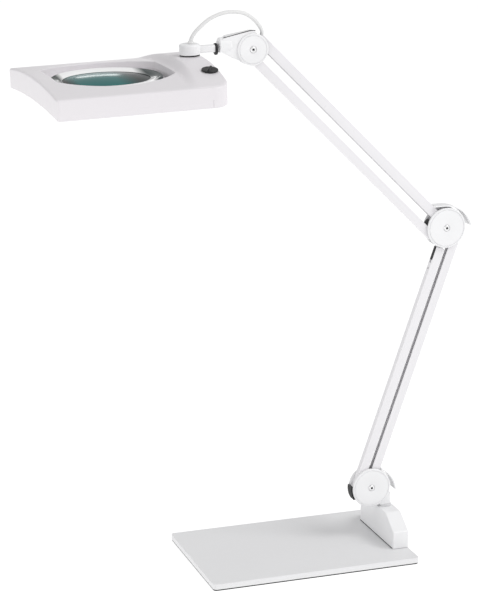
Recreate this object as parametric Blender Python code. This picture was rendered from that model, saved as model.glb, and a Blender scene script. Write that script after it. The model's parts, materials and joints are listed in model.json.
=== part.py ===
"""Magnifying lamp on a base plate: two balanced arms, a three-axis head joint and a lens head.

World frame: the base plate's centre is at the origin on the floor, +X runs along the plate towards
the post, +Z is up, and the arms move in the XZ plane. Sizes are in millimetres and become metres in
the mesh. An empty stands on every joint's axis and carries the pieces that turn about it.
"""
import math

import bmesh
import bpy
from mathutils import Vector

MM = 0.001

# base
PLATE = (338.0, 224.0, 8.9)
PAD_THICK = 1.5
GAP = 0.3
BRACKET_X = (142.5, 168.5)
BRACKET_HALF = 68.5
BRACKET_TOP = 60.5
BRACKET_SHOULDER = 38.5
BRACKET_TOP_HALF = 34.5
SWIVEL_X = 155.5

# arms: pivots in the XZ plane, angles from +X
LOWER_PIVOT = Vector((128.8, 0.0, 94.9))
ELBOW = Vector((247.5, 0.0, 509.7))
HEAD_PIVOT = Vector((-72.0, 0.0, 801.4))
LOWER_OFFSET = Vector((-26.0, 0.0, 0.0))
UPPER_OFFSET = Vector((-19.6, 0.0, -12.8))
HEAD_END_OFFSET = Vector((11.65, 0.0, 11.8))
BAR_HALF = 5.25
WALL = 1.3

# hubs: layers outwards from the arm plane
CHEEK = (5.6, 7.6)
COVER = (7.9, 10.3)
CHEEK_R = 31.3
COVER_R = 31.8
HEAD_COVER_R = 24.0
HUB_PIN_R = 4.0
PIN_R = 2.2
HEAD_PIN_R = 3.2
SCREW_HEAD_R = 4.6
GUARD_CENTRE = (-3.0, -11.0)
GUARD_THICK = 1.8

# head joint, in the head's own frame: +X back along the tube, +Z up
HEAD_TILT = math.radians(1.9)
HEAD_ROLL = math.radians(0.8)
SWIVEL_BACK = 94.8
SWIVEL_RISE = 4.0
NOSE_RISE = 9.1
CAP_R = 15.2

# head shell, in the head's frame with the swivel axis at x = y = 0
HEAD_LEFT = -237.0
HEAD_RIGHT = 16.5
HEAD_CORNER_X = 14.0
HEAD_HALF = 148.0
CORNER_R = 24.0
SIDE_TOP = -28.6
SIDE_BOTTOM = -58.4
SLAB_CROWN = -18.6
PLATEAU_CROWN = -6.8
BOTTOM_CROWN = -52.0
STEP = (-36.0, -23.0)
STEP_SWEEP = 11.0
SHELL = 2.5
APERTURE_X = -125.5
APERTURE_R = 104.0
APERTURE_HALF = 86.5
LENS_X = -127.0
WELL_FLOOR = -35.5
LENS_R = 66.1
KNOB_Y = -92.0
KNOB_R = 12.0

CORD_R = 2.8
CORD_GUIDES = [
    (2.3, 11.0), (2.3, 15.4), (7.2, 24.2), (15.2, 32.2), (31.0, 44.0), (49.6, 50.9), (66.6, 52.4),
    (85.0, 49.0), (98.8, 40.2), (108.5, 28.9), (112.2, 20.9), (111.6, 14.8),
]
CORD_STEPS = 2


def reset():
    for item in list(bpy.data.objects):
        bpy.data.objects.remove(item, do_unlink=True)


def material(name, colour, roughness, metallic=0.0, alpha=1.0):
    mat = bpy.data.materials.new(name)
    mat.use_nodes = True
    shader = mat.node_tree.nodes["Principled BSDF"]
    shader.inputs["Base Color"].default_value = (*colour, 1.0)
    shader.inputs["Roughness"].default_value = roughness
    shader.inputs["Metallic"].default_value = metallic
    shader.inputs["Alpha"].default_value = alpha
    return mat


def link(name, mesh_or_none, parent=None):
    obj = bpy.data.objects.new(name, mesh_or_none)
    bpy.context.collection.objects.link(obj)
    obj.parent = parent
    return obj


def axis_empty(name, place, angle=0.0, parent=None):
    """An empty on a joint's axis; its +X points at `angle` above the parent's +X."""
    obj = link(name, None, parent)
    obj.location = Vector(place) * MM
    obj.rotation_euler = (0.0, -angle, 0.0)
    return obj


def from_bmesh(name, bm, mat, parent=None):
    bmesh.ops.recalc_face_normals(bm, faces=bm.faces)
    bmesh.ops.scale(bm, vec=(MM, MM, MM), verts=bm.verts)
    mesh = bpy.data.meshes.new(name)
    bm.to_mesh(mesh)
    bm.free()
    if mat:
        mesh.materials.append(mat)
    return link(name, mesh, parent)


def arc(cx, cy, radius, start, end, steps):
    """Points on an arc in degrees, both ends included."""
    turn = [math.radians(start + (end - start) * i / steps) for i in range(steps + 1)]
    return [(cx + radius * math.cos(t), cy + radius * math.sin(t)) for t in turn]


def prism_mesh(outline, low, high, plane="XZ"):
    """A closed outline in one plane pushed through from low to high along the third axis."""
    place = {
        "XZ": lambda u, v, w: (u, w, v),
        "XY": lambda u, v, w: (u, v, w),
        "YZ": lambda u, v, w: (w, u, v),
    }[plane]
    bm = bmesh.new()
    rings = [[bm.verts.new(place(u, v, w)) for u, v in outline] for w in (low, high)]
    count = len(outline)
    for i in range(count):
        j = (i + 1) % count
        bm.faces.new((rings[0][i], rings[0][j], rings[1][j], rings[1][i]))
    bm.faces.new(rings[0])
    bm.faces.new(rings[1][::-1])
    return bm


def prism(name, outline, low, high, mat=None, parent=None, plane="XZ"):
    return from_bmesh(name, prism_mesh(outline, low, high, plane), mat, parent)


def box(name, low, high, mat=None, parent=None):
    outline = [(low[0], low[1]), (high[0], low[1]), (high[0], high[1]), (low[0], high[1])]
    return prism(name, outline, low[2], high[2], mat, parent, "XY")


def drum(name, centre, radius, low, high, mat=None, parent=None, plane="XZ", steps=48):
    circle = arc(centre[0], centre[1], radius, 0, 360, steps)[:-1]
    return prism(name, circle, low, high, mat, parent, plane)


def revolve(name, profile, mat, parent=None, steps=64, centre=(0.0, 0.0)):
    """A closed (radius, z) profile turned about the vertical line through centre."""
    bm = bmesh.new()
    columns = []
    for i in range(steps):
        turn = 2 * math.pi * i / steps
        c, s = math.cos(turn), math.sin(turn)
        columns.append([bm.verts.new((centre[0] + r * c, centre[1] + r * s, z)) for r, z in profile])
    count = len(profile)
    for i in range(steps):
        a, b = columns[i], columns[(i + 1) % steps]
        for j in range(count):
            k = (j + 1) % count
            bm.faces.new((a[j], b[j], b[k], a[k]))
    bmesh.ops.remove_doubles(bm, verts=bm.verts, dist=1e-5)
    return from_bmesh(name, bm, mat, parent)


def combine(target, operation, tools):
    """Booleans with hidden tools, in order."""
    for tool in tools:
        tool.hide_render = True
        tool.display_type = "WIRE"
        step = target.modifiers.new(operation.title(), "BOOLEAN")
        step.operation = operation
        step.solver = "EXACT"
        step.object = tool
    return target


def soften(target, width, segments=2, angle=40.0):
    step = target.modifiers.new("Bevel", "BEVEL")
    step.width = width * MM
    step.segments = segments
    step.limit_method = "ANGLE"
    step.angle_limit = math.radians(angle)
    step.use_clamp_overlap = True
    return target


def rounded_rectangle(x0, x1, y0, y1, radii, steps=6):
    """Corner radii in the order right-top, left-top, left-bottom, right-bottom."""
    rt, lt, lb, rb = radii
    return (arc(x1 - rt, y1 - rt, rt, 0, 90, steps) + arc(x0 + lt, y1 - lt, lt, 90, 180, steps)
            + arc(x0 + lb, y0 + lb, lb, 180, 270, steps) + arc(x1 - rb, y0 + rb, rb, 270, 360, steps))


# ---- base -------------------------------------------------------------------------------------

def make_base(mats):
    half_x, half_y = PLATE[0] / 2, PLATE[1] / 2
    pad = rounded_rectangle(1 - half_x, half_x - 1, 1 - half_y, half_y - 1, (5,) * 4)
    prism("base_pad", pad, 0.0, PAD_THICK, mats["rubber"], plane="XY")
    low = PAD_THICK + GAP
    top = low + PLATE[2]
    plate = prism("base_plate", rounded_rectangle(-half_x, half_x, -half_y, half_y, (6,) * 4),
                  low, top, mats["plate"], plane="XY")
    soften(plate, 0.9, 2)
    make_bracket(mats, top + GAP)


def make_bracket(mats, floor):
    outline = [(-BRACKET_HALF, floor), (BRACKET_HALF, floor), (BRACKET_HALF, BRACKET_SHOULDER),
               (BRACKET_TOP_HALF, BRACKET_TOP), (-BRACKET_TOP_HALF, BRACKET_TOP),
               (-BRACKET_HALF, BRACKET_SHOULDER)]
    bracket = prism("post_bracket", outline, *BRACKET_X, mats["plastic"], plane="YZ")
    soften(bracket, 1.2, 2)
    bore = drum("cut_post_bore", (SWIVEL_X, 0.0), 6.3, 24.0, BRACKET_TOP + 5, plane="XY")
    gland_hole = drum("cut_gland", (SWIVEL_X, 24.0), 4.3, 60.0, 75.0, plane="XZ", steps=24)
    combine(bracket, "DIFFERENCE", [bore, gland_hole])
    collar = [(6.5, BRACKET_TOP + 0.1), (10.2, BRACKET_TOP + 0.1), (10.5, BRACKET_TOP + 0.4),
              (10.5, BRACKET_TOP + 2.6), (9.8, BRACKET_TOP + 3.2), (6.5, BRACKET_TOP + 3.2)]
    revolve("swivel_collar", collar, mats["collar"], steps=32, centre=(SWIVEL_X, 0.0))
    make_gland(mats)


def make_gland(mats):
    gland = drum("cord_gland", (SWIVEL_X, 24.0), 4.0, 62.0, 69.0, mats["rubber"], steps=24)
    flange = drum("add_gland_flange", (SWIVEL_X, 24.0), 6.5, BRACKET_HALF + 0.2, 70.5, steps=24)
    nose = drum("add_gland_nose", (SWIVEL_X, 24.0), 4.0, 70.0, 80.0, steps=24)
    combine(gland, "UNION", [flange, nose])
    hollow = drum("cut_gland_hollow", (SWIVEL_X, 24.0), 2.9, 77.0, 85.0, steps=20)
    combine(gland, "DIFFERENCE", [hollow])


# ---- hubs ---------------------------------------------------------------------------------------

def cover_pair(prefix, radius, mats, parent):
    """Front and back cover discs with a counterbore, and the socket screw in each."""
    for side, sign in (("front", -1.0), ("back", 1.0)):
        low, high = sorted((sign * COVER[0], sign * COVER[1]))
        cover = drum(f"{prefix}_cover_{side}", (0, 0), radius, low, high, mats["plastic"], parent)
        soften(cover, 0.6, 1)
        hole = drum(f"cut_{prefix}_{side}_hole", (0, 0), 1.7, low - 1, high + 1, parent=parent, steps=12)
        seat = sorted((sign * (COVER[1] - 1.5), sign * (COVER[1] + 1)))
        sink = drum(f"cut_{prefix}_{side}_sink", (0, 0), 5.0, *seat, parent=parent, steps=20)
        combine(cover, "DIFFERENCE", [hole, sink])
        make_screw(f"{prefix}_screw_{side}", sign, mats, parent)


def make_screw(name, sign, mats, parent):
    seat, crown = COVER[1] - 1.35, COVER[1] + 0.75
    profile = [(0.0, 3.4), (1.5, 3.4), (1.5, seat), (SCREW_HEAD_R, seat), (SCREW_HEAD_R, seat + 0.7),
               (SCREW_HEAD_R - 0.9, crown - 0.25), (SCREW_HEAD_R - 1.8, crown), (0.0, crown)]
    screw = revolve(name, profile, mats["steel"], parent, steps=20)
    screw.rotation_euler = (math.radians(90.0) * -sign, 0.0, 0.0)
    socket = drum(f"cut_{name}_socket", (0, 0), 1.75, seat + 0.6, crown + 1, parent=parent, plane="XY",
                  steps=6)
    socket.rotation_euler = screw.rotation_euler
    combine(screw, "DIFFERENCE", [socket])


def hub_pins(prefix, places, parent, length=CHEEK[0] + 1.0):
    """Pins between the two cheeks, at (x, z, radius)."""
    return [drum(f"add_{prefix}_pin{i}", (x, z), r, -length, length, parent=parent, steps=16)
            for i, (x, z, r) in enumerate(places)]


def screw_bores(prefix, parent):
    return [drum(f"cut_{prefix}_thread{i}", (0, 0), 1.7, *sorted((s * 3.0, s * 12.0)), parent=parent,
                 steps=12)
            for i, s in enumerate((-1, 1))]


def cheek_pair(name, outline, mat, parent):
    """Two parallel cheeks on either side of the arm plane."""
    front = prism(name, outline, -CHEEK[1], -CHEEK[0], mat, parent)
    back = prism(f"add_{name}_back", outline, CHEEK[0], CHEEK[1], parent=parent)
    return front, back


def make_lower_hub(mats, hub):
    circle = arc(0, 0, CHEEK_R, 0, 360, 48)[:-1]
    front, back = cheek_pair("lower_hub", circle, mats["plastic"], hub)
    pins = hub_pins("lower_hub", [(0, 0, HUB_PIN_R), (LOWER_OFFSET.x, LOWER_OFFSET.z, PIN_R)], hub)
    neck_x = SWIVEL_X - LOWER_PIVOT.x
    collar_top = BRACKET_TOP + 3.5 - LOWER_PIVOT.z
    foot = [(neck_x - 10.5, collar_top), (neck_x + 6.4, collar_top), (neck_x + 6.4, -11.8),
            (neck_x - 4.0, -11.8), (neck_x - 10.5, -20.0)]
    neck = prism("add_lower_hub_neck", foot, -CHEEK[1], CHEEK[1], parent=hub)
    spigot = drum("add_lower_hub_spigot", (neck_x, 0), 6.0, 30.0 - LOWER_PIVOT.z, collar_top + 2,
                  parent=hub, plane="XY", steps=40)
    combine(front, "UNION", [back, neck, spigot, *pins])
    combine(front, "DIFFERENCE", screw_bores("lower_hub", hub))
    cover_pair("lower_hub", COVER_R, mats, hub)
    stop = arc(0, 0, CHEEK_R + GAP, 172, 212, 12) + arc(0, 0, CHEEK_R + 3.0, 212, 172, 12)
    prism("lower_hub_stop", stop, -CHEEK[1], CHEEK[1], mats["rubber"], hub)


def make_elbow_hub(mats, hub):
    circle = arc(0, 0, CHEEK_R, 0, 360, 48)[:-1]
    front, back = cheek_pair("elbow_hub", circle, mats["plastic"], hub)
    pins = hub_pins("elbow_hub", [(0, 0, HUB_PIN_R), (-LOWER_OFFSET.x, -LOWER_OFFSET.z, PIN_R),
                                  (UPPER_OFFSET.x, UPPER_OFFSET.z, PIN_R)], hub)
    combine(front, "UNION", [back, *pins])
    combine(front, "DIFFERENCE", screw_bores("elbow_hub", hub))
    cover_pair("elbow_hub", COVER_R, mats, hub)


def make_head_hub(mats, hub):
    """A centre plate that joins the two bar pivots and the tilt pivot."""
    upper = HEAD_END_OFFSET
    lower = HEAD_END_OFFSET + UPPER_OFFSET
    outline = hull_of_circles([(0, 0, 6.0), (upper.x, upper.z, 4.2), (lower.x, lower.z, 4.2)])
    plate = prism("head_hub", outline, -3.4, 3.4, mats["plastic"], hub)
    pins = hub_pins("head_hub", [(upper.x, upper.z, PIN_R), (lower.x, lower.z, PIN_R)], hub, BAR_HALF + 0.2)
    pins += hub_pins("head_hub_tilt", [(0, 0, HEAD_PIN_R)], hub, CHEEK[1] + 0.15)
    combine(plate, "UNION", pins)
    combine(plate, "DIFFERENCE", screw_bores("head_hub", hub))
    cover_pair("head_hub", HEAD_COVER_R, mats, hub)


def hull_of_circles(circles):
    """The convex outline round some circles (x, z, radius)."""
    points = [p for x, z, r in circles for p in arc(x, z, r, 0, 360, 24)[:-1]]
    return convex_outline(points)


def convex_outline(points):
    points = sorted(set(points))

    def half(run):
        chain = []
        for p in run:
            while len(chain) > 1 and turn(chain[-2], chain[-1], p) <= 0:
                chain.pop()
            chain.append(p)
        return chain[:-1]

    def turn(a, b, c):
        return (b[0] - a[0]) * (c[1] - a[1]) - (b[1] - a[1]) * (c[0] - a[0])

    return half(points) + half(points[::-1])


# ---- arms ---------------------------------------------------------------------------------------

def channel_bar(name, body, ears, web_side, mats, parent, horn=None):
    """A U-channel along +X: body is (x0, x1, z0, z1), ears are (x, radius, hole), web at one side.

    The side walls run on into round ears at the pivots, or into a horn of any outline, and the
    channel is open at its ends.
    """
    x0, x1, z0, z1 = body
    bar = prism(name, [(x0, z0), (x1, z0), (x1, z1), (x0, z1)], -BAR_HALF, BAR_HALF, mats["bar"], parent)
    soften(bar, 0.5, 1)
    lugs = [drum(f"add_{name}_ear{i}", (x, 0), r, -BAR_HALF, BAR_HALF, parent=parent, steps=24)
            for i, (x, r, _) in enumerate(ears) if r]
    if horn:
        lugs.append(prism(f"add_{name}_horn", horn, -BAR_HALF, BAR_HALF, parent=parent))
    combine(bar, "UNION", lugs)
    inner = BAR_HALF - WALL
    clear = 30.0
    z_open = (z0 - clear, z1 - WALL) if web_side > 0 else (z0 + WALL, z1 + clear)
    hollow = box(f"cut_{name}_hollow", (x0 - clear, -inner, z_open[0]), (x1 + clear, inner, z_open[1]),
                 parent=parent)
    holes = [drum(f"cut_{name}_hole{i}", (x, 0), h, -BAR_HALF - 1, BAR_HALF + 1, parent=parent, steps=16)
             for i, (x, _, h) in enumerate(ears)]
    return combine(bar, "DIFFERENCE", [hollow, *holes])


def add_tongue(bar, name, root, end, radius, hole, z_range, parent):
    """A solid tongue inside the channel that carries the elbow pivot."""
    half = 3.4
    outline = ([(root, z_range[0]), (end - radius, z_range[0])]
               + arc(end, 0, radius, -60, 60, 12) + [(end - radius, z_range[1]), (root, z_range[1])])
    tongue = prism(f"add_{name}_tongue", outline, -half, half, parent=parent)
    drill = drum(f"cut_{name}_tongue", (end, 0), hole, -half - 1, half + 1, parent=parent, steps=16)
    combine(bar, "UNION", [tongue])
    combine(bar, "DIFFERENCE", [drill])


def guard(name, radius, start, end, lead, mats, parent):
    """A curved strip over the outside of a hub, full hub width, that starts at a bar's outer face."""
    outer = arc(*GUARD_CENTRE, radius, start, end, 14)
    inner = arc(*GUARD_CENTRE, radius - GUARD_THICK, end, start, 14)
    strip = prism(name, lead[:1] + outer + inner + lead[1:], -COVER[1], COVER[1], mats["plastic"], parent)
    return soften(strip, 0.5, 1)


def make_lower_arm(mats, right, left, length):
    main = channel_bar("lower_bar_right", (-6.0, length - 9.0, -5.5, 8.3), [(0, 7.0, HUB_PIN_R + 0.25)],
                       -1, mats, right)
    add_tongue(main, "lower_bar_right", length - 24.0, length, 5.4, PIN_R + 0.25, (-5.0, 5.2), right)
    side = channel_bar("lower_bar_left", (-4.0, length - 33.0, -10.7, 3.45), [(0, 5.4, PIN_R + 0.25)],
                       1, mats, left)
    add_tongue(side, "lower_bar_left", length - 48.0, length, 7.6, HUB_PIN_R + 0.25, (-7.4, 2.9), left)
    slot = box("cut_left_slot", (length - 60.0, -2.2, 1.0), (length - 36.0, 2.2, 8.0), parent=left)
    eye = drum("cut_left_eye", (length - 69.0, 0.0), 1.8, 1.0, 8.0, parent=left, plane="XY", steps=20)
    combine(side, "DIFFERENCE", [slot, eye])


def make_upper_arm(mats, top, bottom, length):
    upper = channel_bar("upper_bar_top", (-2.0, length + 3.0, -10.0, 4.6),
                        [(0, 8.2, HUB_PIN_R + 0.25), (length, 6.0, PIN_R + 0.25)], -1, mats, top)
    inner = BAR_HALF - WALL
    mouth = box("cut_upper_mouth", (length - 7.0, -inner, -20.0), (length + 10.0, inner, -8.0), parent=top)
    combine(upper, "DIFFERENCE", [mouth])
    fork = [(length - 30.0, -0.2), (length - 1.5, -0.2), (length, -4.2)] + arc(length, 0, 4.2, -80, 90, 12)
    fork += [(length - 5.0, 5.6), (length - 30.0, 5.6)]
    channel_bar("upper_bar_bottom", (3.0, length - 14.0, -4.6, 8.6),
                [(0, 6.0, PIN_R + 0.25), (length, 0, PIN_R + 0.25)], 1, mats, bottom, fork)
    make_elbow_stop(mats, bottom)


def make_elbow_stop(mats, bottom):
    """A ribbed rubber stop on the lower bar, in the gap between the two bars."""
    ribs = []
    for x in (15.5, 19.0, 22.5):
        ribs += [(x, -13.2), (x + 2.0, -13.2), (x + 2.0, -12.0), (x + 3.5, -12.0)]
    outline = [(15.5, -4.9)] + ribs[:-1] + [(24.5, -4.9)]
    prism("elbow_stop", outline, -4.6, 4.6, mats["rubber"], bottom)


# ---- head joint ---------------------------------------------------------------------------------

def make_yoke(mats, tilt):
    """Cheeks outside the head hub, a round nose that takes the roll spigot and a strap on top."""
    outline = convex_outline(arc(0, 0, 22.5, 60, 300, 24) + arc(0, 0, 26.4, 80, 104, 6)
                             + [(-27.3, -12.3), (-46.0, -1.4), (-46.0, 19.4)])
    front, back = cheek_pair("tilt_yoke", outline, mats["plastic"], tilt)
    nose = revolve_along_x("add_yoke_nose", [(0.0, -50.6), (10.2, -50.6), (11.3, -49.5), (11.3, -35.0),
                                             (7.0, -30.0), (0.0, -30.0)], NOSE_RISE, tilt)
    strap = arc(0, 0, 27.4, 79, 104, 8) + [(-40.0, 22.2), (-40.0, 18.2)] + arc(0, 0, 24.9, 104, 77, 8)
    top = prism("add_yoke_strap", strap, -CHEEK[1] + 0.2, CHEEK[1] - 0.2, parent=tilt)
    combine(front, "UNION", [nose, back, top])
    bore = revolve_along_x("cut_yoke_bore", [(0.0, -60.0), (4.7, -60.0), (4.7, -33.5), (0.0, -33.5)],
                           SWIVEL_RISE, tilt)
    hole = drum("cut_yoke_pivot", (0, 0), HEAD_PIN_R + 0.3, -12, 12, parent=tilt, steps=28)
    combine(front, "DIFFERENCE", [bore, hole])


def revolve_along_x(name, profile, rise, parent, mat=None, steps=28):
    """A closed (radius, x) profile turned about the roll axis at height rise."""
    body = revolve(name, profile, mat, parent, steps)
    body.rotation_euler = (0.0, math.radians(90.0), 0.0)
    body.location = (0.0, 0.0, rise * MM)
    return body


def make_roll_arm(mats, roll):
    """The swivel cap, its arm and the spigot that turns in the yoke; the roll axis is along X."""
    back = -SWIVEL_BACK
    cap_profile = [(0.0, -4.7), (CAP_R, -4.7), (CAP_R, 8.2), (CAP_R - 0.8, 10.0), (CAP_R - 2.6, 10.8),
                   (0.0, 10.8)]
    cap = revolve("swivel_arm", cap_profile, mats["plastic"], roll, steps=40, centre=(back, 0.0))
    arm = rounded_rectangle(-6.0, 6.0, -4.2, 7.0, (3.5,) * 4, 5)
    bar = prism("add_swivel_bar", arm, back + 8.0, back + 37.5, parent=roll, plane="YZ")
    spigot = revolve_along_x("add_swivel_spigot", [(0.0, back + 36.0), (4.4, back + 36.0),
                                                   (4.4, back + 60.0), (0.0, back + 60.0)], 0.0, roll)
    combine(cap, "UNION", [bar, spigot])
    seat = drum("cut_cap_cord", (back + 2.3, 0.0), 3.9, 5.6, 15.0, parent=roll, plane="XY", steps=24)
    pivot = drum("cut_cap_pivot", (back, 0.0), 5.3, -12.0, 2.5, parent=roll, plane="XY", steps=32)
    combine(cap, "DIFFERENCE", [seat, pivot])
    revolve_along_x("roll_ring", [(4.7, back + 37.9), (8.6, back + 37.9), (8.6, back + 43.8),
                                  (4.7, back + 43.8)], 0.0, roll, mats["rubber"])
    grommet = [(3.1, 5.9), (3.6, 5.9), (3.6, 11.1), (4.6, 11.1), (4.4, 13.0), (3.8, 14.2), (3.1, 14.2)]
    revolve("cord_grommet", grommet, mats["grey"], roll, steps=20, centre=(back + 2.3, 0.0))


# ---- head ---------------------------------------------------------------------------------------

def arch(crown, y):
    """Height of the head's arched surface that falls from the crown to the side's top edge."""
    edge = SIDE_BOTTOM if crown == BOTTOM_CROWN else SIDE_TOP
    return crown + (edge - crown) * (y / HEAD_HALF) ** 2


def head_loft(name, inset, top_drop, bottom, parent, mat=None):
    """The head's outer body, or its cavity when inset: stations along X, arcs across Y.

    The step up to the plateau sweeps towards the left as it nears the sides.
    """
    half = HEAD_HALF - inset
    ys = [half * (-1 + 2 * i / 20) for i in range(21)]
    shift = top_drop * 0.4
    stations = [(HEAD_LEFT + inset, 0.0, SLAB_CROWN), (STEP[0] + shift, STEP_SWEEP, SLAB_CROWN),
                (STEP[1] + shift, STEP_SWEEP, PLATEAU_CROWN), (HEAD_RIGHT - inset, 0.0, PLATEAU_CROWN)]
    bm = bmesh.new()
    rings = []
    for x, sweep, crown in stations:
        xs = [x - sweep * (y / HEAD_HALF) ** 2 for y in ys]
        top = [bm.verts.new((x, y, arch(crown, y) - top_drop)) for x, y in zip(xs, ys)]
        low = [bm.verts.new((x, y, bottom(y))) for x, y in zip(reversed(xs), reversed(ys))]
        rings.append(top + low)
    count = len(rings[0])
    for a, b in zip(rings, rings[1:]):
        for i in range(count):
            j = (i + 1) % count
            bm.faces.new((a[i], a[j], b[j], b[i]))
    bm.faces.new(rings[0][::-1])
    bm.faces.new(rings[-1])
    return from_bmesh(name, bm, mat, parent)


def plan_prism(name, inset, low, high, parent):
    """The head's plan: nearly square left corners, rounded right corners, a slightly bowed right end."""
    sharp, wide = 4.0 - inset * 0.8, CORNER_R - inset
    half = HEAD_HALF - inset
    outline = rounded_rectangle(HEAD_LEFT + inset, HEAD_CORNER_X - inset, -half, half,
                                (wide, sharp, sharp, wide), 8)
    reach = HEAD_HALF - CORNER_R
    bow = [(HEAD_CORNER_X - inset + (HEAD_RIGHT - HEAD_CORNER_X) * (1 - t * t), reach * t)
           for t in (-1 + 2 * i / 16 for i in range(1, 16))]
    return prism(name, outline + bow, low, high, parent=parent, plane="XY")


def aperture_outline(grow=0.0):
    """A circle round the lens cut off by two straight sides."""
    radius, half = APERTURE_R + grow, APERTURE_HALF + grow
    cut = math.degrees(math.acos(half / radius))
    return (arc(APERTURE_X, 0, radius, cut, 180 - cut, 28)
            + arc(APERTURE_X, 0, radius, 180 + cut, 360 - cut, 28))


def make_top_shell(mats, head):
    shell = head_loft("head_top_shell", 0.0, 0.0, lambda y: arch(BOTTOM_CROWN, y), head, mats["shell"])
    combine(shell, "INTERSECT", [plan_prism("cut_head_plan", 0.0, -80.0, 20.0, head)])
    soften(shell, 2.0, 3, 50.0)
    cavity = head_loft("cut_head_cavity", SHELL, SHELL, lambda y: -90.0, head)
    combine(cavity, "INTERSECT", [plan_prism("cut_cavity_plan", SHELL, -95.0, 20.0, head)])
    combine(shell, "DIFFERENCE", [cavity])
    well = prism("add_head_well", aperture_outline(2.2), WELL_FLOOR - 2.5, -23.5, parent=head, plane="XY")
    combine(shell, "UNION", [well])
    rim = prism("cut_aperture", aperture_outline(), WELL_FLOOR, 10.0, parent=head, plane="XY")
    seat = drum("cut_lens_seat", (LENS_X, 0), 71.9, -60.0, 0.0, parent=head, plane="XY", steps=56)
    neck = drum("cut_swivel_hole", (0, 0), 5.6, -22.0, 0.0, parent=head, plane="XY", steps=32)
    combine(shell, "DIFFERENCE", [rim, seat, neck])
    stem_axis = knob_empty(head, "cut_stem_axis")
    stem = drum("cut_knob_stem", (0, 0), 3.6, -16.0, 8.0, parent=stem_axis, plane="XY", steps=24)
    combine(shell, "DIFFERENCE", [stem])


def knob_empty(head, name):
    """On the dimmer's axis, square to the sloping top."""
    slope = 2 * (SIDE_TOP - PLATEAU_CROWN) * KNOB_Y / HEAD_HALF ** 2
    spot = link(name, None, head)
    spot.location = (0.5 * MM, KNOB_Y * MM, arch(PLATEAU_CROWN, KNOB_Y) * MM)
    spot.rotation_euler = (math.atan(slope), 0.0, 0.0)
    return spot


def make_bottom_panel(mats, head):
    """The arched tray inside the skirt, with the round opening of the light."""
    inset = SHELL + 0.4
    half = HEAD_HALF - inset
    ys = [half * (-1 + 2 * i / 20) for i in range(21)]
    low = [(y, arch(BOTTOM_CROWN, y) + 0.6) for y in ys]
    high = [(y, z + 2.2) for y, z in reversed(low)]
    panel = prism("head_bottom_panel", low + high, HEAD_LEFT + inset, HEAD_RIGHT - inset, mats["shell"],
                  head, "YZ")
    combine(panel, "INTERSECT", [plan_prism("cut_panel_plan", inset, -90.0, 20.0, head)])
    opening = drum("cut_panel_opening", (LENS_X, 0), 93.0, -90.0, 0.0, parent=head, plane="XY", steps=56)
    combine(panel, "DIFFERENCE", [opening])


def make_optics(mats, head):
    bezel = [(63.6, -31.0), (63.6, -30.6), (65.2, -30.0), (77.5, -27.7), (80.0, -27.3), (81.6, -27.8),
             (82.0, -29.0), (82.0, -35.2), (71.6, -35.2), (71.6, -38.6), (63.6, -38.6), (63.6, -35.1),
             (66.5, -35.1), (66.5, -31.0)]
    revolve("lens_bezel", bezel, mats["bezel"], head, steps=56, centre=(LENS_X, 0.0))
    lens = [(0.0, -39.0), (34.0, -37.9), (62.8, -34.8), (LENS_R, -34.7),
            (LENS_R, -31.4), (62.8, -31.3), (34.0, -28.2), (0.0, -27.0)]
    revolve("lens", lens, mats["glass"], head, steps=56, centre=(LENS_X, 0.0))
    diffuser = [(72.2, -47.6), (96.0, -47.6), (96.0, -45.6), (75.0, -45.6), (75.0, -39.2),
                (72.2, -39.2)]
    revolve("light_diffuser", diffuser, mats["diffuser"], head, steps=48, centre=(LENS_X, 0.0))


def make_swivel_joint(mats, head):
    washer = [(5.7, -6.5), (14.6, -6.5), (14.6, -5.0), (5.7, -5.0)]
    revolve("swivel_washer", washer, mats["rubber"], head, steps=36)
    pin = [(0.0, -3.9), (5.0, -3.9), (5.0, -9.9), (9.0, -9.9), (9.0, -13.5), (0.0, -13.5)]
    revolve("swivel_pin", pin, mats["steel"], head, steps=20)


def make_knob(mats, knob):
    profile = [(0.0, 0.4), (KNOB_R, 0.4), (KNOB_R, 2.2), (KNOB_R - 0.9, 3.1), (0.0, 3.1)]
    cap = revolve("dimmer_knob", profile, mats["knob"], knob, steps=32)
    ridge = arc(8.6, 0, 2.0, -90, 90, 6) + arc(-8.6, 0, 2.0, 90, 270, 6)
    grip = prism("add_knob_ridge", ridge, 2.0, 5.8, parent=knob, plane="XY")
    stem = drum("add_knob_stem", (0, 0), 3.2, -9.0, 1.0, parent=knob, plane="XY", steps=24)
    combine(cap, "UNION", [grip, stem])


def smooth_route(guides, steps):
    """Points on a Catmull-Rom curve through the guides."""
    ends = [guides[0]] + guides + [guides[-1]]
    route = []
    for i in range(1, len(ends) - 2):
        p, q, r, s = (Vector(point) for point in ends[i - 1:i + 3])
        for k in range(steps):
            t = k / steps
            spot = (2 * q + (r - p) * t + (2 * p - 5 * q + 4 * r - s) * t ** 2
                    + (3 * q - p - 3 * r + s) * t ** 3) / 2
            route.append((spot.x, 0.0, spot.y))
    return route + [(guides[-1][0], 0.0, guides[-1][1])]


def make_cord(mats, swivel):
    """The free loop of cable over the head joint."""
    route = smooth_route(CORD_GUIDES, CORD_STEPS)
    curve = bpy.data.curves.new("head_cord", "CURVE")
    curve.dimensions = "3D"
    curve.bevel_depth = CORD_R * MM
    curve.bevel_resolution = 3
    curve.use_fill_caps = True
    spline = curve.splines.new("POLY")
    spline.points.add(len(route) - 1)
    for point, place in zip(spline.points, route):
        point.co = (*[c * MM for c in place], 1.0)
    curve.materials.append(mats["grey"])
    link("head_cord", curve, swivel)


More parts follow.
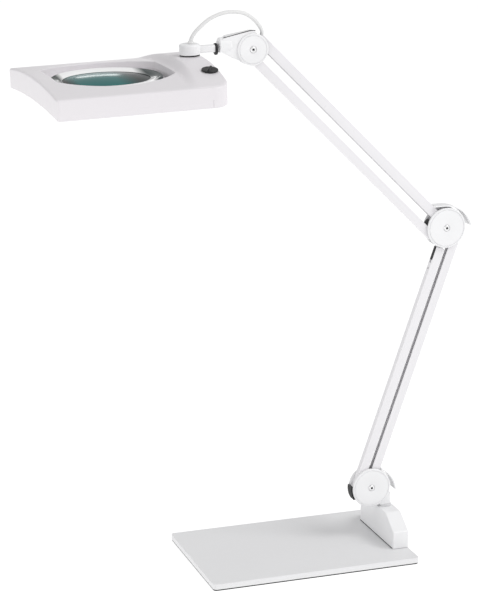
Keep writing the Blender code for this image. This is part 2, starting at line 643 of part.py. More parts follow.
def palette():
    white = (0.86, 0.86, 0.87)
    return {
        "rubber": material("rubber", (0.02, 0.02, 0.022), 0.65),
        "plate": material("plate_paint", (0.80, 0.80, 0.81), 0.42),
        "plastic": material("joint_plastic", white, 0.38),
        "collar": material("collar_plastic", (0.75, 0.75, 0.76), 0.45),
        "bar": material("bar_paint", white, 0.35),
        "steel": material("screw_steel", (0.55, 0.55, 0.57), 0.3, 1.0),
        "shell": material("head_plastic", (0.82, 0.81, 0.83), 0.4),
        "bezel": material("bezel_plastic", (0.85, 0.85, 0.86), 0.2),
        "glass": material("lens_glass", (0.55, 0.8, 0.76), 0.03, 0.0, 0.35),
        "diffuser": material("diffuser_plastic", (0.9, 0.9, 0.88), 0.5),
        "knob": material("knob_plastic", (0.02, 0.02, 0.022), 0.4),
        "grey": material("cord_jacket", (0.72, 0.72, 0.72), 0.45),
    }


def arm_axis(start, offset, end):
    """Length and angle of a bar from start to end + offset."""
    along = end + offset - start
    return along.length, math.atan2(along.z, along.x)


def main():
    reset()
    mats = palette()
    make_base(mats)

    make_lower_hub(mats, axis_empty("axis_lower_arm", LOWER_PIVOT))
    length, angle = arm_axis(LOWER_PIVOT, -LOWER_OFFSET, ELBOW)
    right = axis_empty("axis_lower_right", LOWER_PIVOT, angle)
    left = axis_empty("axis_lower_left", LOWER_PIVOT + LOWER_OFFSET, angle)
    make_lower_arm(mats, right, left, length)
    guard("lower_guard", 45.4, 63.6, 5.0, [], mats, axis_empty("axis_lower_guard", LOWER_PIVOT))

    make_elbow_hub(mats, axis_empty("axis_elbow", ELBOW))
    guard("elbow_guard", 47.0, 90.0, 16.0, [(-21.4, 36.0), (-19.5, 34.2)], mats,
          axis_empty("axis_elbow_guard", ELBOW))
    length, angle = arm_axis(ELBOW, HEAD_END_OFFSET, HEAD_PIVOT)
    top = axis_empty("axis_upper_top", ELBOW, angle)
    bottom = axis_empty("axis_upper_bottom", ELBOW + UPPER_OFFSET, angle)
    make_upper_arm(mats, top, bottom, length)
    make_head_hub(mats, axis_empty("axis_head_hub", HEAD_PIVOT))

    tilt = axis_empty("axis_tilt", HEAD_PIVOT, HEAD_TILT)
    make_yoke(mats, tilt)
    roll = axis_empty("axis_roll", (0.0, 0.0, SWIVEL_RISE), 0.0, tilt)
    roll.rotation_euler.x = HEAD_ROLL
    make_roll_arm(mats, roll)
    swivel = axis_empty("axis_swivel", (-SWIVEL_BACK, 0.0, 0.0), 0.0, roll)
    make_swivel_joint(mats, swivel)
    make_top_shell(mats, swivel)
    make_bottom_panel(mats, swivel)
    make_optics(mats, swivel)
    make_knob(mats, knob_empty(swivel, "axis_knob"))
    make_cord(mats, swivel)


main()
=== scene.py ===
"""Looks for the magnifying lamp: materials, head shell, lens, hub faces, painted shade strips, cable and studio.

Everything is in metres in the CAD row frame: +X along the base plate towards the post, +Y to the
back, +Z up. Pieces that stand for a CAD node are built in millimetres and scaled once.
"""
import json
import math

import bmesh
import bpy
from mathutils import Matrix, Vector


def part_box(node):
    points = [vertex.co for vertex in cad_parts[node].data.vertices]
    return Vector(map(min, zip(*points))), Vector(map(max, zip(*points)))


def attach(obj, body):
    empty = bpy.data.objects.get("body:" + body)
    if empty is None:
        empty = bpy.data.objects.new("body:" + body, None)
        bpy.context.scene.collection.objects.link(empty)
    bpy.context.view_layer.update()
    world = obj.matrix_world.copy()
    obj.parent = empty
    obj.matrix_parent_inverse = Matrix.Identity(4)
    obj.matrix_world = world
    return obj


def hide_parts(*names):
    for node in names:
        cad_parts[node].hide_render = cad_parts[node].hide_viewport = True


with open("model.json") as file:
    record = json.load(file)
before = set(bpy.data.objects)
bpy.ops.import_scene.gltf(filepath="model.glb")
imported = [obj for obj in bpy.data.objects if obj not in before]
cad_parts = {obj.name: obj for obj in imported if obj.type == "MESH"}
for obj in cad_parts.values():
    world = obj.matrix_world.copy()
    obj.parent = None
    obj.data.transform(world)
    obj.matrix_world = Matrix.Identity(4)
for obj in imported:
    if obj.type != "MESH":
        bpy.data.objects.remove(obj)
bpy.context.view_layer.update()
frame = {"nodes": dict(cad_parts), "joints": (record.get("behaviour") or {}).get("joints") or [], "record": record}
nodes = frame["nodes"]
joints = {j["name"]: j for j in frame["joints"]}

MM = 0.001

# the head's frame: origin on the swivel axis, +X back along the tube, +Z up
SWIVEL_AT = Vector(joints["head_swivel"]["pos_m"])
HEAD_UP = Vector(joints["head_swivel"]["axis"]).normalized()
HEAD_X = Vector(joints["head_roll"]["axis"]).normalized()
HEAD_Y = HEAD_UP.cross(HEAD_X).normalized()
HEAD_FRAME = Matrix.Translation(SWIVEL_AT) @ Matrix((HEAD_X, HEAD_Y, HEAD_UP)).transposed().to_4x4()

# head shell in millimetres, as the CAD has it, but for slightly tighter round ends to the opening
HEAD_LEFT, HEAD_RIGHT, HEAD_CORNER_X, HEAD_HALF = -237.0, 16.5, 14.0, 148.0
CORNER_R = 24.0
SIDE_TOP, SIDE_BOTTOM = -28.6, -58.4
SLAB_CROWN, PLATEAU_CROWN, BOTTOM_CROWN = -18.6, -6.8, -52.0
STEP_LEFT, STEP_WIDTH, STEP_SWEEP = -36.0, 13.0, 11.0
SHELL = 2.5
FLOOR_THICK = 2.5
LEFT_CORNER_R = 4.0
FOOT_CHAMFER = 0.8
APERTURE_X, APERTURE_R, APERTURE_HALF = -125.5, 101.2, 86.5
LENS_X, LENS_R = -127.0, 66.1
SEAT_R = 71.9
WELL_FLOOR = -35.5
CREASE_R = 3.0
RIM_R = 1.6
SEAM_X, SEAM_TOP, SEAM_DEPTH, SEAM_HALF = -13.0, -47.0, 0.7, 0.5

# lens, in the head's frame: the glass is the same above and below its middle plane
GLASS_R, GLASS_EDGE, GLASS_BULGE, GLASS_MIDDLE = 62.8, -31.3, 4.3, -33.05
BEZEL_IN, BEZEL_OUT, BEZEL_FOOT = 63.6, 81.9, -38.6

# dimmer, friction ring, hub covers and screws
KNOB_AT, KNOB_R, KNOB_TURN = (0.5, -92.0), 12.0, 62.0
FIN_HALF, FIN_REACH, FIN_HEIGHT = 1.9, 10.6, 2.9
ROLL_RING_X = 38.0
COVER_INNER, COVER_OUTER, COVER_R, HEAD_COVER_R = 7.9, 10.3, 31.8, 24.0
SCREW_R, SOCKET_R = 4.6, 1.9
LENS_AT = HEAD_FRAME @ (Vector((LENS_X, 0.0, 0.0)) * MM)

LOWER_PIVOT = Vector(joints["lower_tilt"]["pos_m"])
LOWER_LINK_PIVOT = Vector(joints["lower_link"]["pos_m"])
LOWER_END = Vector(joints["elbow_level"]["pos_m"])
UPPER_PIVOT = Vector(joints["upper_tilt"]["pos_m"])
TILT_PIVOT = Vector(joints["head_tilt"]["pos_m"])

CORD_R = 2.8
CORD_GUIDES = [
    (2.3, 11.0), (2.3, 15.4), (7.2, 24.2), (15.2, 32.2), (31.0, 44.0), (49.6, 50.9), (66.6, 52.4),
    (85.0, 49.0), (98.8, 40.2), (108.5, 28.9), (112.2, 20.9), (111.6, 14.8),
]

# camera, fitted to the base plate and the bars
CAMERA_AT = Vector((-1.0327, -2.7590, 1.1929))
CAMERA_TURN = math.radians(18.85)
CAMERA_DOWN = math.radians(14.84)
FOCAL_MM, SENSOR_MM = 119.18, 36.0


# ---- shader helpers ----------------------------------------------------------------------------

class Shader:
    """A small builder for one Principled material."""

    def __init__(self, name, colour, roughness, metallic=0.0):
        self.mat = bpy.data.materials.new(name)
        self.mat.use_nodes = True
        self.tree = self.mat.node_tree
        self.bsdf = self.tree.nodes["Principled BSDF"]
        self.bsdf.inputs["Base Color"].default_value = (*colour, 1.0)
        self.bsdf.inputs["Roughness"].default_value = roughness
        self.bsdf.inputs["Metallic"].default_value = metallic
        self.place = self.add("ShaderNodeTexCoord").outputs["Object"]

    def add(self, kind, **values):
        node = self.tree.nodes.new(kind)
        for key, value in values.items():
            setattr(node, key, value)
        return node

    def set(self, **values):
        for key, value in values.items():
            self.bsdf.inputs[key.replace("_", " ")].default_value = value

    def join(self, source, target):
        self.tree.links.new(source, target)

    def noise(self, scale, detail=3.0):
        """Noise in object space; scale is features per metre."""
        node = self.add("ShaderNodeTexNoise")
        node.inputs["Scale"].default_value = scale
        node.inputs["Detail"].default_value = detail
        self.join(self.place, node.inputs["Vector"])
        return node.outputs["Fac"]

    def ramp(self, value, low, high, start=0.3, end=0.7):
        """A number pushed from low at start to high at end."""
        node = self.add("ShaderNodeMapRange")
        node.inputs["From Min"].default_value = start
        node.inputs["From Max"].default_value = end
        node.inputs["To Min"].default_value = low
        node.inputs["To Max"].default_value = high
        self.join(value, node.inputs["Value"])
        return node.outputs["Result"]

    def mix(self, value, low, high):
        """A blend of two plain colours."""
        node = self.add("ShaderNodeMix", data_type="RGBA")
        node.inputs[6].default_value = (*low, 1.0)
        node.inputs[7].default_value = (*high, 1.0)
        self.join(value, node.inputs[0])
        return node.outputs[2]

    def layer(self, value, under, over):
        """A plain colour laid over a colour socket where value is high."""
        node = self.add("ShaderNodeMix", data_type="RGBA")
        self.join(under, node.inputs[6])
        node.inputs[7].default_value = (*over, 1.0)
        self.join(value, node.inputs[0])
        return node.outputs[2]

    def colour_from(self, value):
        self.join(value, self.bsdf.inputs["Base Color"])

    def roughness_from(self, value):
        self.join(value, self.bsdf.inputs["Roughness"])

    def bump(self, value, distance, strength=1.0):
        node = self.add("ShaderNodeBump")
        node.inputs["Strength"].default_value = strength
        node.inputs["Distance"].default_value = distance
        self.join(value, node.inputs["Height"])
        previous = self.bsdf.inputs["Normal"].links
        if previous:
            self.join(previous[0].from_socket, node.inputs["Normal"])
        self.join(node.outputs["Normal"], self.bsdf.inputs["Normal"])

    def painted_edge_highlight(self, under, over):
        """Slightly different tone on convex edges: a painted highlight where the rounded edges catch the light."""
        geometry = self.add("ShaderNodeNewGeometry")
        edge = self.ramp(geometry.outputs["Pointiness"], 0.0, 0.5, 0.52, 0.60)
        return self.layer(edge, under, over)

    def painted_reflection_ends(self, tone, left, right):
        """A tone that turns dark to the left and right of the lens: painted reflections of the lamp's inside.

        Each end is (start, finish, colour), with the distances from the lens centre in millimetres.
        """
        across = self.add("ShaderNodeSeparateXYZ")
        self.join(self.place, across.inputs[0])
        for start, finish, colour in (left, right):
            rising = finish > 0
            spots = sorted((LENS_AT.x + start * MM, LENS_AT.x + finish * MM))
            end = self.ramp(across.outputs["X"], *((0.0, 1.0) if rising else (1.0, 0.0)), *spots)
            tone = self.layer(end, tone, colour)
        self.colour_from(tone)


def shade(colour, factor):
    return tuple(min(1.0, c * factor) for c in colour)


def moulded(name, colour, roughness=0.36, grain=2600.0):
    """Injection-moulded plastic: fine spark grain, faint tone drift and slightly uneven gloss."""
    s = Shader(name, colour, roughness)
    tone = s.mix(s.noise(9.0, 4.0), shade(colour, 0.972), colour)
    # convex edges a little lighter: painted highlight
    s.colour_from(s.painted_edge_highlight(tone, shade(colour, 1.03)))
    s.roughness_from(s.ramp(s.noise(60.0, 5.0), roughness - 0.05, roughness + 0.06))
    s.bump(s.noise(grain, 2.0), 0.00003, 0.35)
    s.bump(s.noise(25.0, 2.0), 0.0002, 0.06)
    return s.mat


def painted(name, colour, roughness=0.4, peel=420.0, strength=0.16):
    """Powder coat or paint on metal: orange peel, speckle and small tone variation."""
    s = Shader(name, colour, roughness)
    tone = s.mix(s.noise(7.0, 4.0), shade(colour, 0.965), colour)
    # convex edges a little lighter: painted highlight
    s.colour_from(s.painted_edge_highlight(tone, shade(colour, 1.04)))
    s.roughness_from(s.ramp(s.noise(140.0, 4.0), roughness - 0.06, roughness + 0.08))
    s.bump(s.noise(peel, 2.0), 0.00012, strength)
    s.bump(s.noise(peel * 5, 2.0), 0.00004, strength)
    return s.mat


def rubber(name):
    """Black rubber: dull, with a fine matt grain."""
    colour, roughness = (0.012, 0.012, 0.013), 0.6
    s = Shader(name, colour, roughness)
    s.colour_from(s.mix(s.noise(40.0, 5.0), shade(colour, 0.8), shade(colour, 1.5)))
    s.roughness_from(s.ramp(s.noise(300.0, 4.0), roughness - 0.1, roughness + 0.12))
    s.bump(s.noise(1800.0, 3.0), 0.00005, 0.5)
    return s.mat


def turned_steel(name):
    """Bright screw head: faint turning marks and a thin dull film."""
    s = Shader(name, (0.93, 0.93, 0.94), 0.35, 0.85)
    s.colour_from(s.mix(s.noise(300.0, 4.0), (0.88, 0.88, 0.89), (0.96, 0.96, 0.96)))
    s.roughness_from(s.ramp(s.noise(900.0, 3.0), 0.28, 0.42))
    s.bump(s.noise(2400.0, 2.0), 0.00002, 0.4)
    return s.mat


def lens_glass(name):
    """Nearly opaque glass coloured with painted reflections: teal in the middle and almost black towards the two
    ends, for the lamp's inside mirrored in it.
    """
    s = Shader(name, (0.10, 0.30, 0.29), 0.03)
    s.set(Transmission_Weight=0.06, IOR=1.5, Specular_IOR_Level=0.03)
    # teal middle: painted reflection of the lamp's inside
    tone = s.mix(s.noise(40.0, 3.0), (0.008, 0.128, 0.124), (0.012, 0.150, 0.145))
    # near-black ends: painted reflections
    s.painted_reflection_ends(tone, (-44.0, -58.0, (0.002, 0.005, 0.005)), (10.0, 40.0, (0.008, 0.016, 0.016)))
    s.roughness_from(s.ramp(s.noise(80.0, 3.0), 0.10, 0.14))
    return s.mat


def bezel_gloss(name):
    """White gloss plastic. The dark ends are painted on: they stand in for reflections."""
    s = Shader(name, (0.93, 0.93, 0.93), 0.12)
    s.set(Specular_IOR_Level=0.04)
    tone = s.mix(s.noise(60.0, 3.0), (0.93, 0.93, 0.93), (0.97, 0.97, 0.97))
    # dark ends of the bezel: painted reflections
    s.painted_reflection_ends(tone, (-54.0, -64.0, (0.012, 0.022, 0.021)), (54.0, 66.0, (0.050, 0.065, 0.065)))
    s.roughness_from(s.ramp(s.noise(80.0, 3.0), 0.10, 0.16))
    return s.mat


def frosted(name):
    """Milky diffuser plastic that lets a little light in."""
    s = Shader(name, (0.93, 0.93, 0.91), 0.5)
    s.colour_from(s.mix(s.noise(20.0, 3.0), (0.90, 0.90, 0.88), (0.95, 0.95, 0.93)))
    s.roughness_from(s.ramp(s.noise(150.0, 3.0), 0.42, 0.58))
    s.bump(s.noise(1500.0, 2.0), 0.00004, 0.4)
    s.set(Subsurface_Weight=0.15, Subsurface_Radius=(0.003, 0.003, 0.003))
    return s.mat


LOOKS = {
    "rubber": rubber("rubber_look"),
    "base_paint": painted("base_paint_look", (0.80, 0.80, 0.81), 0.40),
    "joint_plastic": moulded("joint_plastic_look", (0.87, 0.87, 0.88), 0.34),
    "collar_plastic": moulded("collar_plastic_look", (0.70, 0.70, 0.71), 0.45),
    "bar_paint": painted("bar_paint_look", (0.82, 0.81, 0.83), 0.33, 600.0, 0.10),
    "screw_steel": turned_steel("screw_steel_look"),
    "head_plastic": moulded("head_plastic_look", (0.80, 0.775, 0.80), 0.36),
    "bezel_plastic": bezel_gloss("bezel_look"),
    "lens_glass": lens_glass("lens_glass_look"),
    "diffuser_plastic": frosted("diffuser_look"),
    "knob_plastic": moulded("knob_plastic_look", (0.005, 0.005, 0.006), 0.5),
    "cord_jacket": moulded("cord_jacket_look", (0.78, 0.78, 0.78), 0.42, 2200.0),
}


# ---- mesh helpers --------------------------------------------------------------------------------

def smooth(obj, angle=35.0):
    """Smooth shading with crisp edges where faces turn by more than the angle."""
    obj.data.polygons.foreach_set("use_smooth", [True] * len(obj.data.polygons))
    obj.data.set_sharp_from_angle(angle=math.radians(angle))


def dress_nodes():
    """Every CAD node keeps its shape and gets its slot's look."""
    slots = {part["node"]: part["material_slot"] for part in frame["record"]["subparts"]}
    for name, obj in nodes.items():
        obj.data.materials.clear()
        obj.data.materials.append(LOOKS[slots[name]])
        smooth(obj)


def in_world(name, bm, look, body):
    """A piece built in place in metres and tied to a body."""
    bmesh.ops.recalc_face_normals(bm, faces=bm.faces)
    mesh = bpy.data.meshes.new(name)
    bm.to_mesh(mesh)
    bm.free()
    mesh.materials.append(LOOKS[look])
    piece = bpy.data.objects.new(name, mesh)
    bpy.context.collection.objects.link(piece)
    smooth(piece)
    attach(piece, body)
    return piece


def in_head(name, bm, look, body="head"):
    """A piece built in millimetres in the head's frame."""
    bmesh.ops.transform(bm, matrix=HEAD_FRAME @ Matrix.Scale(MM, 4), verts=bm.verts)
    return in_world(name, bm, look, body)


def arc(cx, cy, radius, start, end, steps):
    """Points round a centre, from one angle in degrees to another."""
    turn = [math.radians(start + (end - start) * i / steps) for i in range(steps + 1)]
    return [(cx + radius * math.cos(t), cy + radius * math.sin(t)) for t in turn]


def spokes(steps):
    """The cosine and sine of each direction round a circle."""
    turns = [2 * math.pi * i / steps for i in range(steps)]
    return [(math.cos(turn), math.sin(turn)) for turn in turns]


def revolve(profile, centre, steps=120):
    """A closed (radius, z) profile turned about the vertical line through (centre, 0)."""
    bm = bmesh.new()
    columns = [[bm.verts.new((centre + r * c, r * s, z)) for r, z in profile] for c, s in spokes(steps)]
    close_grid(bm, columns)
    bmesh.ops.remove_doubles(bm, verts=bm.verts, dist=1e-5)
    return bm


def close_grid(bm, columns):
    """Faces between closed columns, round and back to the first."""
    for a, b in zip(columns, columns[1:] + columns[:1]):
        for i in range(len(a)):
            j = (i + 1) % len(a)
            bm.faces.new((a[i], b[i], b[j], a[j]))


# ---- head ------------------------------------------------------------------------------------------

def arch(crown, y, edge=SIDE_TOP):
    """Height of a parabola across the head, from the crown on the centre line to the side edge."""
    return crown + (edge - crown) * (y / HEAD_HALF) ** 2


def top_height(x, y):
    """The slab's arch, which rises through a smooth step to the plateau's arch."""
    t = (x - STEP_LEFT + STEP_SWEEP * (y / HEAD_HALF) ** 2) / STEP_WIDTH
    t = max(0.0, min(1.0, t))
    rise = 0.4 * t * t * (3 - 2 * t) + 0.6 * t
    return arch(SLAB_CROWN + (PLATEAU_CROWN - SLAB_CROWN) * rise, y)


def head_plan():
    """The head's outline from above, closely spaced, with places for the seam in the near side."""
    right, reach = HEAD_CORNER_X - CORNER_R, HEAD_HALF - CORNER_R
    left, half = HEAD_LEFT + LEFT_CORNER_R, HEAD_HALF - LEFT_CORNER_R
    bow = [(HEAD_CORNER_X + (HEAD_RIGHT - HEAD_CORNER_X) * (1 - t * t), reach * t)
           for t in (-1 + 2 * i / 40 for i in range(41))]
    far = [(right - (right - left) * i / 60, HEAD_HALF) for i in range(1, 60)]
    end = [(HEAD_LEFT, half * (1 - 2 * i / 60)) for i in range(1, 60)]
    near = [(x, -HEAD_HALF) for x, _ in reversed(far)]
    near += [(SEAM_X + d, -HEAD_HALF) for d in (-0.9, -0.35, 0.35, 0.9)]
    near.sort()
    return (bow + arc(right, reach, CORNER_R, 0, 90, 12)[1:] + far
            + arc(left, half, LEFT_CORNER_R, 90, 180, 8) + end
            + arc(left, -half, LEFT_CORNER_R, 180, 270, 8) + near
            + arc(right, -reach, CORNER_R, 270, 360, 12)[:-1])


def inward(outline):
    """Unit normals that point into a counter-clockwise outline."""
    count = len(outline)
    normals = []
    for i in range(count):
        ax, ay = outline[i - 1]
        bx, by = outline[(i + 1) % count]
        length = math.hypot(bx - ax, by - ay)
        normals.append((-(by - ay) / length, (bx - ax) / length))
    return normals


def aperture_radius(turn):
    """From the aperture's centre to its edge: a circle cut off by two straight sides."""
    return min(APERTURE_R, APERTURE_HALF / max(1e-6, abs(math.cos(turn))))


def between(a, b, t):
    """The point a share t of the way from one (x, y) to another."""
    return a[0] + (b[0] - a[0]) * t, a[1] + (b[1] - a[1]) * t


def shell_column(plan, normal):
    """One closed section through the shell, from the lens seat over the top and back inside."""
    turn = math.atan2(plan[1], plan[0] - APERTURE_X)
    c, s = math.cos(turn), math.sin(turn)
    reach = aperture_radius(turn)

    def from_aperture(distance):
        return APERTURE_X + distance * c, distance * s

    def from_side(depth):
        return plan[0] + normal[0] * depth, plan[1] + normal[1] * depth

    # the well: its floor round the lens seat and its wall up to the rounded rim
    seat, edge, lining = (LENS_X + SEAT_R * c, SEAT_R * s), from_aperture(reach), from_aperture(reach + 2.2)
    column = [(*seat, WELL_FLOOR - FLOOR_THICK), (*seat, WELL_FLOOR)]
    column += [(*between(seat, edge, t), WELL_FLOOR) for t in (0.5, 0.97)]
    column += [(*edge, WELL_FLOOR + 0.8), (*edge, top_height(*edge) - RIM_R)]
    for step in range(1, 5):
        a = math.radians(90 * step / 4)
        spot = from_aperture(reach + RIM_R * (1 - math.cos(a)))
        column.append((*spot, top_height(*spot) - RIM_R * (1 - math.sin(a))))

    # the top, then the crease down to the side
    start, end = column[-1][:2], from_side(CREASE_R)
    for step in range(1, 41):
        spot = between(start, end, step / 40)
        column.append((*spot, top_height(*spot)))
    lip = top_height(*plan)
    for step in range(1, 7):
        a = math.radians(90 * step / 6)
        column.append((*from_side(CREASE_R * (1 - math.sin(a))), lip - CREASE_R * (1 - math.cos(a))))

    # the side with its seam, the foot, and back up inside
    foot = arch(BOTTOM_CROWN, plan[1], SIDE_BOTTOM)
    groove = SEAM_DEPTH if plan[1] < 0 and abs(plan[0] - SEAM_X) < SEAM_HALF else 0.0
    inner = from_side(SHELL)
    column += [(*plan, SEAM_TOP + 0.5), (*from_side(groove), SEAM_TOP),
               (*from_side(groove), foot + FOOT_CHAMFER), (*from_side(FOOT_CHAMFER + groove), foot),
               (*inner, foot), (*inner, top_height(*inner) - SHELL)]
    for step in (1, 2, 3):
        spot = between(inner, lining, step / 3)
        column.append((*spot, top_height(*spot) - SHELL))
    column.append((*lining, WELL_FLOOR - FLOOR_THICK))
    return column


def make_head_shell():
    """The head's top moulding, with points where the opening's straight sides meet its round ends."""
    plan = head_plan()
    corner = math.acos(APERTURE_HALF / APERTURE_R)
    plan.sort(key=lambda p: math.atan2(p[1], p[0] - APERTURE_X))
    for quarter in (corner, math.pi - corner, corner - math.pi, -corner):
        plan = with_direction(plan, quarter)
    bm = bmesh.new()
    columns = [[bm.verts.new(v) for v in shell_column(p, n)] for p, n in zip(plan, inward(plan))]
    close_grid(bm, columns)
    piece = in_head("head_shell", bm, "head_plastic")
    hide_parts("head_top_shell")


def with_direction(plan, turn):
    """The plan with a point added exactly in one direction from the aperture's centre."""
    angles = [math.atan2(y, x - APERTURE_X) for x, y in plan]
    for i in range(len(plan) - 1):
        if angles[i] < turn < angles[i + 1]:
            (ax, ay), (bx, by) = plan[i], plan[i + 1]
            c, s = math.cos(turn), math.sin(turn)
            t = ((ax - APERTURE_X) * s - ay * c) / ((ax - bx) * s + (by - ay) * c)
            return plan[:i + 1] + [(ax + (bx - ax) * t, ay + (by - ay) * t)] + plan[i + 1:]
    return plan


def make_lens():
    """A biconvex glass with a ground rim, and the glossy ring that holds it."""
    radii = [GLASS_R * (1 - i / 14) for i in range(15)]
    cap = [(r, GLASS_EDGE + GLASS_BULGE * (1 - (r / GLASS_R) ** 2)) for r in radii]
    under = [(r, 2 * GLASS_MIDDLE - z) for r, z in reversed(cap)]
    profile = [(LENS_R, 2 * GLASS_MIDDLE - GLASS_EDGE + 0.1), (LENS_R, GLASS_EDGE - 0.1)] + cap + under
    lens = in_head("lens_disc", revolve(profile, LENS_X), "lens_glass")
    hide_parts("lens")

    # the ring: a lip over the glass, a dished face, a round crest, and a skirt down into the seat
    lip = [(66.5, -31.0), (BEZEL_IN, -31.0), (BEZEL_IN, -30.8), (BEZEL_IN + 0.4, -30.4)]
    face = [(65.0 + 12.5 * t, -30.1 + 2.3 * t + 0.5 * math.sin(math.pi * t))
            for t in (i / 8 for i in range(9))]
    crest = arc(79.6, -29.5, 2.1, 110, 5, 8)
    skirt = [(BEZEL_OUT, -35.0), (BEZEL_OUT - 0.2, -35.2), (71.6, -35.2), (71.6, BEZEL_FOOT + 0.2),
             (71.4, BEZEL_FOOT), (BEZEL_IN + 0.2, BEZEL_FOOT), (BEZEL_IN, BEZEL_FOOT + 0.2),
             (BEZEL_IN, -35.1), (66.5, -35.1)]
    bezel = in_head("bezel_ring", revolve(lip + face + crest + skirt, LENS_X), "bezel_plastic")
    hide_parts("lens_bezel")


def polar_cap(bm, rings, side, height, steps):
    """A closed button: rings of a height over (u, v) outwards, then a (radius, z) side to a flat foot."""
    columns = []
    for c, s in spokes(steps):
        column = [(r * c, r * s, height(r * c, r * s)) for r in rings] + [(r * c, r * s, z) for r, z in side]
        columns.append([bm.verts.new(v) for v in column])
    close_grid(bm, columns)
    bmesh.ops.remove_doubles(bm, verts=bm.verts, dist=1e-5)


def make_knob():
    """The dimmer: a low disc with a fin across it that shows which way it points."""
    slope = 2 * (SIDE_TOP - PLATEAU_CROWN) * KNOB_AT[1] / HEAD_HALF ** 2
    lean = Matrix.Rotation(math.atan(slope), 4, "X") @ Matrix.Rotation(math.radians(KNOB_TURN), 4, "Z")
    spot = Vector((*KNOB_AT, arch(PLATEAU_CROWN, KNOB_AT[1])))

    def fin(u, v):
        ridge = math.exp(-(v / FIN_HALF) ** 4) * max(0.0, 1 - (u / FIN_REACH) ** 6)
        return FIN_HEIGHT + FIN_HEIGHT * ridge

    bm = bmesh.new()
    rings = [KNOB_R * math.sin(math.pi / 2 * i / 20) * 0.93 for i in range(21)]
    side = [(KNOB_R - 0.35, 2.75), (KNOB_R, 2.3), (KNOB_R, 0.7), (KNOB_R - 0.3, 0.4), (0.0, 0.4)]
    polar_cap(bm, rings, side, fin, 96)
    bmesh.ops.transform(bm, matrix=Matrix.Translation(spot) @ lean, verts=bm.verts)
    knob = in_head("dimmer_cap", bm, "knob_plastic", "dimmer")
    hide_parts("dimmer_knob")


def on_plane(bm, centre, sign):
    """Turns a button made round +Z to face the front (-1) or the back (+1) of the arm plane."""
    turn = Matrix.Rotation(math.radians(90.0) * -sign, 4, "X")
    bmesh.ops.transform(bm, matrix=Matrix.Translation(centre) @ turn @ Matrix.Scale(MM, 4), verts=bm.verts)


def make_hub_faces(prefix, body, centre, radius):
    """Round cover discs with a rolled rim and a socket screw sunk in the middle of each."""
    top = COVER_OUTER
    rim = arc(radius - 1.5, top - 1.5, 1.5, 0, 90, 6)
    groove = [(radius - 2.3, top), (radius - 2.5, top - 0.9), (radius - 3.4, top - 0.9), (radius - 3.8, top)]
    sink = [(5.9, top), (5.5, top - 0.15), (5.3, top - 1.5), (SOCKET_R, top - 1.5)]
    profile = [(SOCKET_R, COVER_INNER), (radius, COVER_INNER)] + rim + groove + sink
    for side, sign in (("front", -1), ("back", 1)):
        bm = revolve(profile, 0.0)
        on_plane(bm, centre, sign)
        disc = in_world(f"{prefix}_disc_{side}", bm, "joint_plastic", body)
        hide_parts(f"{prefix}_cover_{side}")
        make_screw(f"{prefix}_bolt_{side}", body, centre, sign, f"{prefix}_screw_{side}")


def make_screw(name, body, centre, sign, node):
    """A button-head socket screw: domed bright head, with a black hexagon laid in its socket as painted shade."""
    seat, crown = COVER_OUTER - 1.35, COVER_OUTER + 0.75
    dome = arc(SCREW_R - 1.6, crown - 1.6, 1.6, 8, 84, 7)
    socket = [(SOCKET_R + 0.2, crown), (SOCKET_R + 0.05, crown - 0.1),
              (SOCKET_R, crown - 1.7), (0.0, crown - 1.7)]
    bm = revolve([(0.0, seat), (SCREW_R, seat)] + dome + socket, 0.0, 72)
    on_plane(bm, centre, sign)
    screw = in_world(name, bm, "screw_steel", body)
    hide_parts(node)
    # black hexagon inside the socket: painted shade
    socket_shade = bmesh.new()
    reach, floor = SOCKET_R - 0.05, crown - 1.6
    polar_cap(socket_shade, [0.0, 1.0, reach], [(reach, floor), (0.0, floor)], lambda u, v: crown - 0.55, 6)
    on_plane(socket_shade, centre, sign)
    in_world(f"{name}_recess", socket_shade, "rubber", body)


def strip(name, place, outline, low, high, body):
    """A thin strip in the black rubber look, laid as painted shade: an outline in the local XZ plane pushed along
    Y, in millimetres.
    """
    bm = bmesh.new()
    rings = [[bm.verts.new((x, y, z)) for x, z in outline] for y in (low, high)]
    for i in range(len(outline)):
        j = (i + 1) % len(outline)
        bm.faces.new((rings[0][i], rings[0][j], rings[1][j], rings[1][i]))
    bm.faces.new(rings[0])
    bm.faces.new(rings[1][::-1])
    bmesh.ops.bevel(bm, geom=bm.edges[:], offset=0.12, segments=2, affect="EDGES", profile=0.5)
    bmesh.ops.transform(bm, matrix=place @ Matrix.Scale(MM, 4), verts=bm.verts)
    in_world(name, bm, "rubber", body)


def frame_at(origin, x_axis):
    """A frame in the arm plane with +X along x_axis and +Y to the back."""
    x_axis = Vector(x_axis).normalized()
    back = Vector((0.0, 1.0, 0.0))
    return Matrix.Translation(origin) @ Matrix((x_axis, back, x_axis.cross(back))).transposed().to_4x4()


